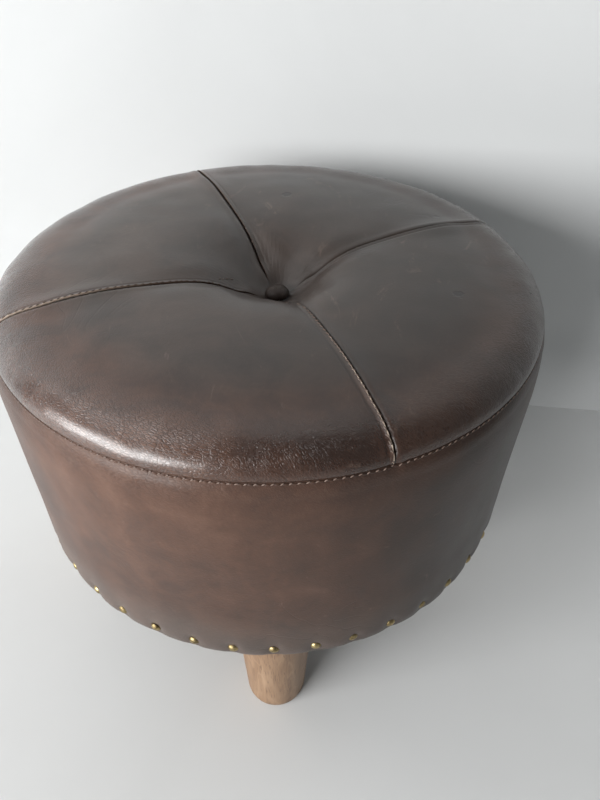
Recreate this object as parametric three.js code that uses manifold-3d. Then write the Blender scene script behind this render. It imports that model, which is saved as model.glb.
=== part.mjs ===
// Round leather footstool: a closed wooden drum, padded and covered in leather, on four turned legs.
// Millimetres, +Z up. The origin is on the floor under the middle of the drum, and -Y is the front.
import * as THREE from "three";
import { mergeVertices } from "three/addons/utils/BufferGeometryUtils.js";
import Module from "manifold-3d";

const wasm = await Module();
wasm.setup();

// Driving dimensions
const SEAM_R = 150; // the rim seam, where the top cover meets the side
const LEG_H = 105; // floor to the underside of the cover
const SIDE_H = 140; // underside to the rim seam
const LOWER_EDGE_R = 152.5; // where the side turns under the base
const CROWN_H = 19; // rim seam to the top of the crown
const LEATHER = 1.4;
const GAP = 0.3; // between pieces that touch
const SEGMENTS = 36; // facets round the drum

// The crown and its buttoned dimple
const CROWN_POWER = 6; // how flat the top is before it rolls over the rim
const COVER_RADII = [9, 16, 24, 33, 45, 64, 92, 116, 132, 141, 146.5, 149.3, SEAM_R];
const PADDING_RADII = [12, 20, 29, 45, 92, 128];
const DIMPLE_DEPTH = 26;
const DIMPLE_R = 27;
const BUTTON_X = 3.5; // the button was pulled down a little off the middle
const BUTTON_Y = -8;
const SEAM_ANGLES = [19.5, 112.4, 202.5, 289.7]; // where the cross seams meet the rim, from +X
const BUTTON_R = 7;
const BUTTON_H = 4.3;
const TWINE_R = 1;

// The wooden drum
const BOARD_R = 142;
const BASE_THICK = 18;
const TOP_THICK = 12;
const WALL_THICK = 3;
const SEAT_FOAM_H = 20; // rim seam down to the top board
const POST_SIDE = 28;
const POST_CIRCLE_R = 108;
const HEM = 21; // leather turned under the base
const WADDING = 3;
const SLACK = 0.8; // between the leather and the padding under it
const COVER_THICK = 0.6;

// Legs and their fixings
const LEG_COUNT = 4;
const LEG_CIRCLE_R = 121;
const LEG_TOP_R = 23.5;
const LEG_FOOT_R = 19.5;
const LEG_EDGE = 1.5; // rounding at the foot
const BOLT_R = 4;
const BOLT_IN_LEG = 34;
const NUT_R = 5.2;
const NUT_FLANGE_R = 10;
const NUT_FLANGE = 1.5;
const NUT_BARREL = 11;
const SCREW_R = 2;
const SCREW_HEAD_R = 4;
const SCREW_LENGTH = 40;

// Nails along the lower edge
const NAIL_COUNT = 44;
const NAIL_R = 3.2;
const NAIL_DOME = 2.2;
const NAIL_ABOVE_EDGE = 8.5;
const NAIL_TIE = 0.5; // the fine wire that holds the heads in one ring

// Heights worked out from them
const SEAM_Z = LEG_H + SIDE_H;
const BASE_Z = LEG_H + LEATHER + 2 * GAP;
const TOP_BOARD_Z = SEAM_Z - SEAT_FOAM_H - TOP_THICK;
const POST_Z = BASE_Z + BASE_THICK + GAP;
const POST_H = TOP_BOARD_Z - GAP - POST_Z;

const looks = {
  leather: new THREE.MeshStandardMaterial({ color: 0x4a3028, roughness: 0.42, metalness: 0 }),
  oak: new THREE.MeshStandardMaterial({ color: 0xb08c66, roughness: 0.55, metalness: 0 }),
  plywood: new THREE.MeshStandardMaterial({ color: 0xc8a878, roughness: 0.7, metalness: 0 }),
  hardboard: new THREE.MeshStandardMaterial({ color: 0x6d4a2c, roughness: 0.65, metalness: 0 }),
  foam: new THREE.MeshStandardMaterial({ color: 0xe6d9a8, roughness: 0.95, metalness: 0 }),
  wadding: new THREE.MeshStandardMaterial({ color: 0xf2f1ec, roughness: 1, metalness: 0 }),
  brass: new THREE.MeshStandardMaterial({ color: 0xa8935a, roughness: 0.32, metalness: 1 }),
  steel: new THREE.MeshStandardMaterial({ color: 0x9a9a96, roughness: 0.4, metalness: 1 }),
  twine: new THREE.MeshStandardMaterial({ color: 0xd8cfb8, roughness: 0.9, metalness: 0 }),
  cloth: new THREE.MeshStandardMaterial({ color: 0x2a2a2c, roughness: 0.95, metalness: 0 }),
};

const footstool = new THREE.Group();

// Each piece gets its own copy of its finish.
function addPiece(name, geometry, look) {
  const mesh = new THREE.Mesh(geometry, looks[look].clone());
  mesh.name = name;
  footstool.add(mesh);
  return mesh;
}

// A closed outline of [radius, height] pairs, turned round the Z axis.
function turned(outline, segments = SEGMENTS) {
  let area = 0;
  for (let i = 0; i < outline.length; i++) {
    const [r0, z0] = outline[i];
    const [r1, z1] = outline[(i + 1) % outline.length];
    area += r0 * z1 - r1 * z0;
  }
  const ordered = area > 0 ? outline.slice() : outline.slice().reverse();
  const onAxis = ordered.findIndex(([r], i) => {
    const before = ordered[(i + ordered.length - 1) % ordered.length];
    return r === 0 && before[0] === 0;
  });
  const start = Math.max(onAxis, 0);
  const profile = [...ordered.slice(start), ...ordered.slice(0, start)];
  if (onAxis < 0) profile.push(profile[0]);
  const points = profile.map(([r, z]) => new THREE.Vector2(r, z));
  return new THREE.LatheGeometry(points, segments).rotateX(Math.PI / 2);
}

function solidOf(geometry) {
  const bare = geometry.clone();
  bare.deleteAttribute("normal");
  bare.deleteAttribute("uv");
  const merged = mergeVertices(bare, 1e-3);
  return new wasm.Manifold(
    new wasm.Mesh({
      numProp: 3,
      vertProperties: merged.attributes.position.array,
      triVerts: new Uint32Array(merged.index.array),
    }),
  );
}

function geometryOf(solid) {
  const mesh = solid.getMesh();
  const geometry = new THREE.BufferGeometry();
  geometry.setAttribute("position", new THREE.BufferAttribute(mesh.vertProperties, 3));
  geometry.setIndex(new THREE.BufferAttribute(mesh.triVerts, 1));
  geometry.computeVertexNormals();
  return geometry;
}

function cut(geometry, tools) {
  return geometryOf(tools.reduce((left, tool) => left.subtract(solidOf(tool)), solidOf(geometry)));
}

// An upright round drill from z0 to z1 at x, y.
function drill(radius, z0, z1, x, y, sides = 12) {
  const height = z1 - z0;
  const tool = new THREE.CylinderGeometry(radius, radius, height, sides);
  return tool.rotateX(Math.PI / 2).translate(x, y, z0 + height / 2);
}

function around(radius, degrees) {
  const angle = THREE.MathUtils.degToRad(degrees);
  return [radius * Math.cos(angle), radius * Math.sin(angle)];
}

// Height of the cover's outer face at a radius: a flat dome less the buttoned dimple.
function crownHeight(r) {
  const dome = CROWN_H * Math.sqrt(1 - (r / SEAM_R) ** CROWN_POWER);
  const dimple = DIMPLE_DEPTH * Math.exp(-((r / DIMPLE_R) ** 2));
  return SEAM_Z + dome - dimple;
}

// Draws a turned piece of the seat over towards the button, less and less out to the rim.
function drawn(geometry) {
  const place = geometry.attributes.position;
  for (let i = 0; i < place.count; i++) {
    const x = place.getX(i);
    const y = place.getY(i);
    const share = 1 - Math.min(Math.hypot(x, y) / SEAM_R, 1);
    place.setXY(i, x + BUTTON_X * share, y + BUTTON_Y * share);
  }
  return geometry;
}

// The crown's section from a middle hole out through the given radii, moved inwards by depth.
function crownSection(depth, holeR, radii) {
  const step = 0.05;
  return [holeR, ...radii].map((r) => {
    const at = Math.min(r, SEAM_R - step);
    const slope = (crownHeight(at) - crownHeight(at - step)) / step;
    const length = Math.hypot(1, slope);
    const out = r === holeR ? 0 : (slope * depth) / length;
    return [r + out, crownHeight(r) - depth / length];
  });
}

// Four quarter panels of leather, cut from one crown shell with a seam's width between them.
function seatPanels() {
  const holeR = 2.5;
  const outer = crownSection(0, holeR, COVER_RADII);
  const inner = crownSection(LEATHER, holeR, COVER_RADII);
  outer[outer.length - 1] = [SEAM_R, SEAM_Z + GAP / 2];
  inner[inner.length - 1] = [SEAM_R - LEATHER, SEAM_Z + GAP / 2];
  const shell = solidOf(turned([...outer, ...inner.reverse()]));
  const names = ["seat_panel_back", "seat_panel_left", "seat_panel_front", "seat_panel_right"];
  names.forEach((name, i) => {
    const from = SEAM_ANGLES[i];
    const to = SEAM_ANGLES[(i + 1) % names.length];
    const [x0, y0] = around(SEAM_R * 2, from);
    const [x1, y1] = around(SEAM_R * 2, to);
    const [px, py] = around(GAP / 2, from + 90);
    const [qx, qy] = around(GAP / 2, to - 90);
    const quarter = new THREE.Shape([
      new THREE.Vector2(px + qx, py + qy),
      new THREE.Vector2(x0 + px, y0 + py),
      new THREE.Vector2(x0 + x1, y0 + y1),
      new THREE.Vector2(x1 + qx, y1 + qy),
    ]);
    const wedge = new THREE.ExtrudeGeometry(quarter, { depth: CROWN_H * 4, bevelEnabled: false });
    wedge.translate(0, 0, SEAM_Z - CROWN_H * 2);
    addPiece(name, drawn(geometryOf(shell.intersect(solidOf(wedge)))), "leather");
  });
}

// The band round the side, bulged by its wadding, with its lower hem turned under the base.
function sideSection() {
  const drop = (share) => SEAM_Z - SIDE_H * share;
  return [
    [SEAM_R, SEAM_Z - GAP / 2],
    [SEAM_R + 2.2, drop(0.06)],
    [SEAM_R + 3.7, drop(0.15)],
    [SEAM_R + 4, drop(0.3)],
    [SEAM_R + 4, drop(0.5)],
    [SEAM_R + 4.2, drop(0.68)],
    [SEAM_R + 4.8, drop(0.8)],
    [SEAM_R + 5.2, drop(0.9)],
    [SEAM_R + 5.2, drop(0.95)],
    [SEAM_R + 4.5, drop(0.985)],
    [LOWER_EDGE_R, LEG_H],
  ];
}

function sideBand() {
  const outer = sideSection();
  const inner = outer.slice(0, -1).map(([r, z]) => [r - LEATHER, z]);
  inner.push([LOWER_EDGE_R - LEATHER, LEG_H + LEATHER]);
  const hemR = LOWER_EDGE_R - HEM;
  const section = [...outer, [hemR, LEG_H], [hemR, LEG_H + LEATHER], ...inner.reverse()];
  const backSeam = new THREE.BoxGeometry(GAP, HEM * 3, SIDE_H * 2);
  backSeam.translate(0, SEAM_R, SEAM_Z - SIDE_H / 2);
  addPiece("side_band", cut(turned(section), [backSeam]), "leather");
}

// Polyester wadding between the hardboard wall and the side band.
function sideWadding() {
  const wallR = BOARD_R + WALL_THICK + 2 * GAP;
  const skin = LEATHER + GAP;
  const outer = sideSection().slice(2, -2); // from just under the seat pad
  const section = [
    [wallR, SEAM_Z - SEAT_FOAM_H],
    ...outer.map(([r, z]) => [r - skin, z]),
    [wallR, outer.at(-1)[1]],
  ];
  addPiece("side_wadding", turned(section), "wadding");
}

// A sheet of wadding over the foam, folded down inside the side band.
function seatWadding() {
  const holeR = 3;
  const skin = LEATHER + SLACK;
  const outer = crownSection(skin, holeR, PADDING_RADII);
  const inner = crownSection(skin + WADDING, holeR, PADDING_RADII);
  const outerR = SEAM_R - LEATHER - GAP;
  const foot = SEAM_Z - SEAT_FOAM_H + GAP;
  const section = [
    ...outer,
    [outerR - 9, SEAM_Z + 9],
    [outerR - 2, SEAM_Z + 3],
    [outerR - 0.4, SEAM_Z - 2],
    [outerR - 0.4, foot],
    [outerR - WADDING, foot],
    [outerR - WADDING, SEAM_Z - 4],
    ...inner.reverse(),
  ];
  addPiece("seat_wadding", drawn(turned(section)), "wadding");
}

// The foam pad on the top board, with a small hole for the button's twine.
function seatFoam() {
  const holeR = 3;
  const depth = LEATHER + SLACK + WADDING + GAP;
  const top = crownSection(depth, holeR, PADDING_RADII);
  const edgeR = SEAM_R - LEATHER - WADDING - 2 * GAP;
  const floor = SEAM_Z - SEAT_FOAM_H + GAP;
  const section = [...top, [edgeR, SEAM_Z - 5], [edgeR, floor], [holeR, floor]];
  addPiece("seat_foam", drawn(turned(section)), "foam");
}

function button() {
  const base = crownHeight(BUTTON_R) + 2 * GAP;
  const wall = 0.9;
  const arc = [0, 22.5, 45, 67.5, 90].map((d) => around(1, d));
  const outer = arc.map(([c, s]) => [BUTTON_R * c, base + BUTTON_H * s]);
  const inner = arc.map(([c, s]) => [(BUTTON_R - wall) * c, base + (BUTTON_H - wall) * s]);
  outer.at(-1)[0] = 0;
  inner.at(-1)[0] = 0;
  const cover = addPiece("button_cover", turned([...outer, ...inner.reverse()], 24), "leather");
  cover.position.set(BUTTON_X, BUTTON_Y, 0);
  const core = BUTTON_R - wall - GAP;
  const crown = BUTTON_H - wall - GAP;
  const lens = arc.map(([c, s]) => [core * c, base + crown * s]);
  lens.at(-1)[0] = 0;
  const shell = addPiece("button_core", turned([[0, base], ...lens], 24), "steel");
  shell.position.set(BUTTON_X, BUTTON_Y, 0);
  return base;
}

// Twine from the button down through the foam and the top board, knotted under a wooden washer.
function buttonTwine(buttonBase) {
  const washerH = 3;
  const washerTop = TOP_BOARD_Z - GAP;
  const knot = washerTop - washerH - GAP;
  const section = [
    [0, knot - 5],
    [2.4, knot - 4.2],
    [3, knot - 2.4],
    [2.4, knot],
    [TWINE_R, knot],
    [TWINE_R, buttonBase - GAP],
    [0, buttonBase - GAP],
  ];
  const twine = addPiece("button_twine", turned(section, 10), "twine");
  twine.position.set(BUTTON_X, BUTTON_Y, 0);
  const hole = TWINE_R + 2 * GAP;
  const washer = [
    [hole, washerTop - washerH],
    [12, washerTop - washerH],
    [12, washerTop],
    [hole, washerTop],
  ];
  const plate = addPiece("twine_washer", turned(washer, 20), "plywood");
  plate.position.set(BUTTON_X, BUTTON_Y, 0);
}

// Where the posts stand, between the legs.
const postPlaces = Array.from({ length: LEG_COUNT }, (_, i) => around(POST_CIRCLE_R, 45 + i * 90));
const legPlaces = Array.from({ length: LEG_COUNT }, (_, i) => around(LEG_CIRCLE_R, -90 + i * 90));
const legNames = ["front", "right", "back", "left"];

function boards() {
  const screwHole = SCREW_R + GAP;
  const recess = SCREW_HEAD_R + GAP;
  const base = new THREE.CylinderGeometry(BOARD_R, BOARD_R, BASE_THICK, SEGMENTS);
  base.rotateX(Math.PI / 2).rotateZ(Math.PI / 2).translate(0, 0, BASE_Z + BASE_THICK / 2);
  const baseTop = BASE_Z + BASE_THICK;
  const baseDrills = legPlaces.map(([x, y]) => drill(NUT_R + GAP, BASE_Z - 1, baseTop + 1, x, y));
  postPlaces.forEach(([x, y]) => {
    baseDrills.push(drill(screwHole, BASE_Z - 1, baseTop + 1, x, y, 8));
    baseDrills.push(drill(recess, BASE_Z - 1, BASE_Z + 3, x, y, 8));
  });
  addPiece("base_board", cut(base, baseDrills), "plywood");

  const top = TOP_BOARD_Z + TOP_THICK;
  const disc = new THREE.CylinderGeometry(BOARD_R, BOARD_R, TOP_THICK, SEGMENTS);
  disc.rotateX(Math.PI / 2).rotateZ(Math.PI / 2).translate(0, 0, TOP_BOARD_Z + TOP_THICK / 2);
  const topDrills = postPlaces.flatMap(([x, y]) => [
    drill(screwHole, TOP_BOARD_Z - 1, top + 1, x, y, 8),
    drill(recess, top - 3, top + 1, x, y, 8),
  ]);
  topDrills.push(drill(TWINE_R * 3, TOP_BOARD_Z - 1, top + 1, BUTTON_X, BUTTON_Y));
  addPiece("top_board", cut(disc, topDrills), "plywood");
}

// Hardboard bent round the two boards, its ends butted at the back.
function drumWall() {
  const inner = BOARD_R + GAP;
  const outer = inner + WALL_THICK;
  const top = SEAM_Z - SEAT_FOAM_H;
  const section = [
    [inner, BASE_Z],
    [outer, BASE_Z],
    [outer, top],
    [inner, top],
  ];
  const joint = new THREE.BoxGeometry(1, 20, SIDE_H * 2).translate(0, BOARD_R, BASE_Z);
  addPiece("drum_wall", cut(turned(section), [joint]), "hardboard");
}

// A countersunk screw along Z: its head is at z, and it points up or down.
function screw(name, x, y, z, way) {
  const section = [
    [0, 0],
    [SCREW_HEAD_R, 0],
    [SCREW_R, 2.4],
    [SCREW_R, SCREW_LENGTH - 4],
    [0, SCREW_LENGTH],
  ];
  const mesh = addPiece(name, turned(section, 8), "steel");
  mesh.position.set(x, y, z);
  if (way < 0) mesh.rotation.x = Math.PI;
}

function posts() {
  postPlaces.forEach(([x, y], i) => {
    const number = i + 1;
    const post = new THREE.BoxGeometry(POST_SIDE, POST_SIDE, POST_H);
    post.rotateZ(Math.PI / 4 + (i * Math.PI) / 2).translate(x, y, POST_Z + POST_H / 2);
    const bite = SCREW_LENGTH;
    const drills = [
      drill(SCREW_R + GAP, POST_Z - 1, BASE_Z + bite + 1, x, y, 8),
      drill(SCREW_R + GAP, TOP_BOARD_Z + TOP_THICK - bite - 1, TOP_BOARD_Z + 1, x, y, 8),
    ];
    addPiece(`post_${number}`, cut(post, drills), "oak");
    screw(`post_screw_low_${number}`, x, y, BASE_Z + 0.4, 1);
    screw(`post_screw_high_${number}`, x, y, TOP_BOARD_Z + TOP_THICK - 0.4, -1);
  });
}

// Turned, tapered legs, each on a hanger bolt that screws into a tee nut in the base board.
function legs() {
  const top = LEG_H - GAP;
  const nutTop = BASE_Z + BASE_THICK + GAP + NUT_FLANGE;
  legPlaces.forEach(([x, y], i) => {
    const side = legNames[i];
    const leg = [
      [0, 0],
      [LEG_FOOT_R - LEG_EDGE, 0],
      [LEG_FOOT_R - LEG_EDGE * 0.3, LEG_EDGE * 0.3],
      [LEG_FOOT_R, LEG_EDGE],
      [LEG_TOP_R, top],
      [BOLT_R + GAP, top],
      [BOLT_R + GAP, top - BOLT_IN_LEG - 2],
      [0, top - BOLT_IN_LEG - 2],
    ];
    addPiece(`leg_${side}`, turned(leg, 28), "oak").position.set(x, y, 0);
    const bolt = [
      [0, top - BOLT_IN_LEG],
      [BOLT_R, top - BOLT_IN_LEG + 4],
      [BOLT_R, nutTop - 1],
      [BOLT_R - 1, nutTop],
      [0, nutTop],
    ];
    addPiece(`hanger_bolt_${side}`, turned(bolt, 12), "steel").position.set(x, y, 0);
    const thread = BOLT_R + GAP;
    const nut = [
      [thread, nutTop - NUT_FLANGE - NUT_BARREL],
      [NUT_R, nutTop - NUT_FLANGE - NUT_BARREL],
      [NUT_R, nutTop - NUT_FLANGE],
      [NUT_FLANGE_R, nutTop - NUT_FLANGE],
      [NUT_FLANGE_R, nutTop],
      [thread, nutTop],
    ];
    addPiece(`tee_nut_${side}`, turned(nut, 12), "steel").position.set(x, y, 0);
  });
}

// Black cloth under the base, inside the hem, with a hole for each bolt.
function dustCover() {
  const radius = LOWER_EDGE_R - HEM - GAP;
  const disc = [
    [0, LEG_H],
    [radius, LEG_H],
    [radius, LEG_H + COVER_THICK],
    [0, LEG_H + COVER_THICK],
  ];
  const holes = legPlaces.map(([x, y]) => drill(BOLT_R + GAP, LEG_H - 1, LEG_H + 2, x, y));
  addPiece("dust_cover", cut(turned(disc), holes), "cloth");
}

// Domed brass nail heads round the lower edge. A fine wire behind them makes them one ring.
function brassNails() {
  const z = LEG_H + NAIL_ABOVE_EDGE;
  const back = SEAM_R + 5.6;
  const tie = [
    [back - 0.1, z - NAIL_TIE / 2],
    [back + NAIL_TIE, z - NAIL_TIE / 2],
    [back + NAIL_TIE, z + NAIL_TIE / 2],
    [back - 0.1, z + NAIL_TIE / 2],
  ];
  let ring = solidOf(turned(tie, NAIL_COUNT * 2));
  const dome = [
    [0, 0],
    [NAIL_R, 0],
    [NAIL_R * 0.72, NAIL_DOME * 0.7],
    [0, NAIL_DOME],
  ];
  for (let i = 0; i < NAIL_COUNT; i++) {
    const head = turned(dome, 6);
    head.rotateY(Math.PI / 2).translate(back, 0, z);
    head.rotateZ((i * 2 * Math.PI) / NAIL_COUNT);
    ring = ring.add(solidOf(head));
  }
  addPiece("brass_nails", geometryOf(ring), "brass");
}

legs();
boards();
posts();
drumWall();
sideWadding();
seatFoam();
seatWadding();
sideBand();
seatPanels();
buttonTwine(button());
dustCover();
brassNails();

export default footstool;
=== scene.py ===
import math
import random

import bmesh
import bpy
import numpy as np
from mathutils import Matrix, Vector, noise
from mathutils.bvhtree import BVHTree


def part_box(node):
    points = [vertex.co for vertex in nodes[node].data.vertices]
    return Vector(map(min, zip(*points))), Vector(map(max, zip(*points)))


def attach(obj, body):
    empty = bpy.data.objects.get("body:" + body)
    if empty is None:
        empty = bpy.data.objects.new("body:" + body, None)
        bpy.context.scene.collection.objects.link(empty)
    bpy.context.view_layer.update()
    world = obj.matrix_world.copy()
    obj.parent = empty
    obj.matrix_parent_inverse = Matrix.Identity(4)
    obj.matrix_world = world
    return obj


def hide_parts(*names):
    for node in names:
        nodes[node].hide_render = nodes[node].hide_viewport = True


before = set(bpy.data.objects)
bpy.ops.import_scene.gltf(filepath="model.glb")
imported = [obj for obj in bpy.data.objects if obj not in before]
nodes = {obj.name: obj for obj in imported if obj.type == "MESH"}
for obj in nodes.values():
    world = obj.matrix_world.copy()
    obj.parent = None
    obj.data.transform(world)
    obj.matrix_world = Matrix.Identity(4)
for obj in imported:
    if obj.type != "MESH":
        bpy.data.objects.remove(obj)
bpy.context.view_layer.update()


# ---- Legs ----
# Four plain turned legs in oak, tapering to the foot, with the sharp edge taken off where they stand.
# Each is turned from one billet, oiled, and screws up onto a hanger bolt under the base board.

class Signal:
    """A number or colour that varies over a surface. Arithmetic on it adds Math nodes."""

    def __init__(self, finish, socket):
        self.finish = finish
        self.socket = socket

    def maths(self, operation, *terms):
        return self.finish.node("ShaderNodeMath", {"operation": operation}, dict(enumerate(terms)))

    def __add__(self, other):
        return self.maths("ADD", self, other)

    def __radd__(self, other):
        return self.maths("ADD", other, self)

    def __sub__(self, other):
        return self.maths("SUBTRACT", self, other)

    def __rsub__(self, other):
        return self.maths("SUBTRACT", other, self)

    def __mul__(self, other):
        return self.maths("MULTIPLY", self, other)

    def __rmul__(self, other):
        return self.maths("MULTIPLY", other, self)

    def __truediv__(self, other):
        return self.maths("DIVIDE", self, other)

    def __pow__(self, other):
        return self.maths("POWER", self, other)

    def __abs__(self):
        return self.maths("ABSOLUTE", self)

    def between(self, low, high):
        """0 at low, 1 at high, and a smooth step from one to the other."""
        return self.finish.node("ShaderNodeMapRange", {"interpolation_type": "SMOOTHSTEP"},
                                {0: self, 1: low, 2: high, 3: 0.0, 4: 1.0})


class Finish:
    """A material, built node by node."""

    def __init__(self, name):
        self.material = bpy.data.materials.new(name)
        self.material.use_nodes = True
        self.tree = self.material.node_tree
        self.tree.nodes.clear()
        self.place = self.node("ShaderNodeTexCoord", output="Object")

    def node(self, kind, settings=None, sockets=None, output=0):
        """Adds a node: its settings first, then the values or links of its sockets."""
        made = self.tree.nodes.new(kind)
        for name, value in (settings or {}).items():
            if name != "stops":
                setattr(made, name, value)
                continue
            stops = made.color_ramp.elements
            while len(stops) < len(value):
                stops.new(0.5)
            for stop, (position, colour) in zip(stops, value):
                stop.position = position
                stop.color = (*colour, 1.0)
        for name, value in (sockets or {}).items():
            if isinstance(value, Signal):
                self.tree.links.new(value.socket, made.inputs[name])
            elif hasattr(value, "__len__") and made.inputs[name].type == "RGBA":
                made.inputs[name].default_value = (*value, 1.0)
            else:
                made.inputs[name].default_value = value
        return Signal(self, made.outputs[output]) if len(made.outputs) else None

    def moved(self, centre=(0, 0, 0), turn=(0, 0, 0), stretch=(1, 1, 1), source=None):
        """The pattern's place, centred, turned and stretched."""
        return self.node("ShaderNodeMapping", {"vector_type": "TEXTURE"},
                         {"Vector": source or self.place, "Location": centre, "Rotation": turn,
                          "Scale": stretch}, "Vector")

    def noise(self, scale, detail=3.0, rough=0.55, warp=0.0, at=None):
        return self.node("ShaderNodeTexNoise", {}, {"Vector": at or self.place, "Scale": scale,
                         "Detail": detail, "Roughness": rough, "Distortion": warp})

    def cells(self, scale, feature="F1", at=None):
        return self.node("ShaderNodeTexVoronoi", {"feature": feature},
                         {"Vector": at or self.place, "Scale": scale}, "Distance")

    def creases(self, scale, width, at=None, warp=0.6):
        """Thin wandering lines: 1 on the line, 0 away from it."""
        return abs(self.noise(scale, 2.0, 0.5, warp, at) - 0.5).between(width, 0.0)

    def ramp(self, factor, stops):
        return self.node("ShaderNodeValToRGB", {"stops": stops}, {"Fac": factor}, "Color")

    def mix(self, factor, first, second, blend="MIX"):
        return self.node("ShaderNodeMix", {"data_type": "RGBA", "blend_type": blend},
                         {0: factor, 6: first, 7: second}, 2)

    def axis(self, name, source=None):
        return self.node("ShaderNodeSeparateXYZ", {}, {0: source or self.place}, name)

    def far_from(self, point):
        return self.node("ShaderNodeVectorMath", {"operation": "DISTANCE"},
                         {0: self.place, 1: point}, "Value")

    def surface(self, colour, roughness, height=None, **constants):
        """The finished surface. height is in metres; the constants are the shader's other sockets."""
        sockets = {"Base Color": colour, "Roughness": roughness}
        for name, value in constants.items():
            sockets[name.replace("_", " ")] = value
        if height is not None:
            sockets["Normal"] = self.node("ShaderNodeBump", {}, {"Strength": 1.0, "Distance": 1.0,
                                          "Height": height}, "Normal")
        shader = self.node("ShaderNodeBsdfPrincipled", {}, sockets, "BSDF")
        self.node("ShaderNodeOutputMaterial", {}, {"Surface": shader})
        return self.material


def turned(section, steps=64, start=0.0, sweep=math.tau):
    """A bmesh: a section of (radius, height) points, spun about the Z axis."""
    bm = bmesh.new()
    line = [bm.verts.new((r * math.cos(start), r * math.sin(start), z)) for r, z in section]
    edges = [bm.edges.new(pair) for pair in zip(line, line[1:])]
    bmesh.ops.spin(bm, geom=line + edges, cent=(0, 0, 0), axis=(0, 0, 1), dvec=(0, 0, 0),
                   angle=sweep, steps=steps, use_merge=sweep == math.tau, use_duplicate=False)
    bmesh.ops.remove_doubles(bm, verts=bm.verts, dist=1e-6)
    bmesh.ops.recalc_face_normals(bm, faces=bm.faces)
    return bm


def piece(name, bm, material, stands_for=(), crease=None):
    """The bmesh as a smooth piece that rides on the one body."""
    mesh = bpy.data.meshes.new(name)
    bm.to_mesh(mesh)
    bm.free()
    mesh.materials.append(material)
    mesh.shade_smooth()
    if crease:
        mesh.set_sharp_from_angle(angle=crease)
    made = bpy.data.objects.new(name, mesh)
    bpy.context.scene.collection.objects.link(made)
    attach(made, "root")
    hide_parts(*stands_for)
    return made


def dress(material, *names):
    """Gives CAD nodes their finish."""
    for name in names:
        nodes[name].material_slots[0].material = material


oak = Finish("oiled_oak")
along = oak.moved(stretch=(1, 1, 16))
broad = oak.noise(120, 4.0, 0.6, 0.8, oak.moved(stretch=(1, 1, 9)))
fibre = oak.noise(900, 3.0, 0.6, 0.2, along)
pores = oak.noise(1500, 1.0, 0.5, 0.0, oak.moved(stretch=(1, 1, 22))).between(0.60, 0.70)
rays = oak.creases(60, 0.03, oak.moved(stretch=(1, 1, 5)))
tone = broad * 0.7 + fibre * 0.3
wood = oak.ramp(tone, [(0.30, (0.145, 0.075, 0.036)), (0.50, (0.255, 0.153, 0.085)),
                       (0.72, (0.365, 0.242, 0.149))])
wood = oak.mix(pores * 0.6, wood, (0.11, 0.055, 0.028))
wood = oak.mix(rays * 0.35, wood, (0.40, 0.26, 0.16))
# Each leg goes darker in patches over its lowest 7 mm.
foot_darkening = oak.axis("Z").between(0.007, 0.0) * oak.noise(300, 3.0).between(0.35, 0.65)
wood = oak.mix(foot_darkening * 0.5, wood, (0.10, 0.065, 0.04))
oak_look = oak.surface(wood, 0.44 + fibre * 0.2, fibre * 0.00007 - pores * 0.00008,
                       Coat_Weight=0.12, Coat_Roughness=0.35)

FOOT_EDGE = 0.0016
BORE_R = 0.0043
BORE_DEPTH = 0.036
TAPER_ROWS = 24

for side in ("front", "right", "back", "left"):
    low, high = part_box(f"leg_{side}")
    middle = (low + high) / 2
    top_r = (high.x - low.x) / 2
    foot_r = top_r - 0.004
    edge = [(foot_r - FOOT_EDGE * (1 - math.sin(a)), FOOT_EDGE * (1 - math.cos(a)))
            for a in np.linspace(0, math.pi / 2, 6)]
    taper = [(foot_r + (top_r - foot_r) * share, FOOT_EDGE + (high.z - FOOT_EDGE - 0.0008) * share)
             for share in np.linspace(0, 1, TAPER_ROWS)[1:]]
    bore = [(top_r - 0.0008, high.z), (BORE_R, high.z), (BORE_R, high.z - BORE_DEPTH),
            (0, high.z - BORE_DEPTH)]
    leg = turned([(0, 0), (foot_r * 0.5, 0), *edge, *taper, *bore], 96)
    bmesh.ops.translate(leg, verts=leg.verts, vec=(middle.x, middle.y, 0))
    piece(f"turned_leg_{side}", leg, oak_look, [f"leg_{side}"], math.radians(40))


# ---- Hanger bolts, tee nuts and screws ----
# Zinc-plated steel fixings, all out of sight: a hanger bolt and a tee nut hold each leg, and a
# countersunk screw at each end holds each post. The button's shell is the same sheet steel.
steel = Finish("plated_steel")
bloom = steel.noise(400, 4.0)
steel_look = steel.surface(steel.ramp(bloom, [(0.3, (0.36, 0.36, 0.34)), (0.7, (0.58, 0.58, 0.55))]),
                           0.28 + bloom * 0.3, steel.noise(2500, 2.0) * 0.00002, Metallic=1.0)
for side in ("front", "right", "back", "left"):
    dress(steel_look, f"hanger_bolt_{side}", f"tee_nut_{side}")
for number in range(1, 5):
    dress(steel_look, f"post_screw_low_{number}", f"post_screw_high_{number}")


# ---- Frame ----
# Two birch plywood discs on four softwood posts, with a strip of hardboard bent round and tacked to
# the discs' edges. It is all covered, so it is left as it was sawn.
ply = Finish("birch_plywood")
sheet_grain = ply.noise(60, 5.0, 0.6, 0.4, ply.moved(stretch=(10, 1, 1)))
layers = (ply.axis("Z") * 760 + ply.noise(30, 2.0) * 0.5).maths("FRACT").between(0.35, 0.65)
ply_tone = ply.ramp(sheet_grain, [(0.3, (0.38, 0.25, 0.13)), (0.7, (0.62, 0.46, 0.28))])
ply_look = ply.surface(ply.mix(layers * 0.3, ply_tone, (0.27, 0.16, 0.08)), 0.62 + sheet_grain * 0.15,
                       sheet_grain * 0.0001)
dress(ply_look, "base_board", "top_board", "twine_washer")

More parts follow.
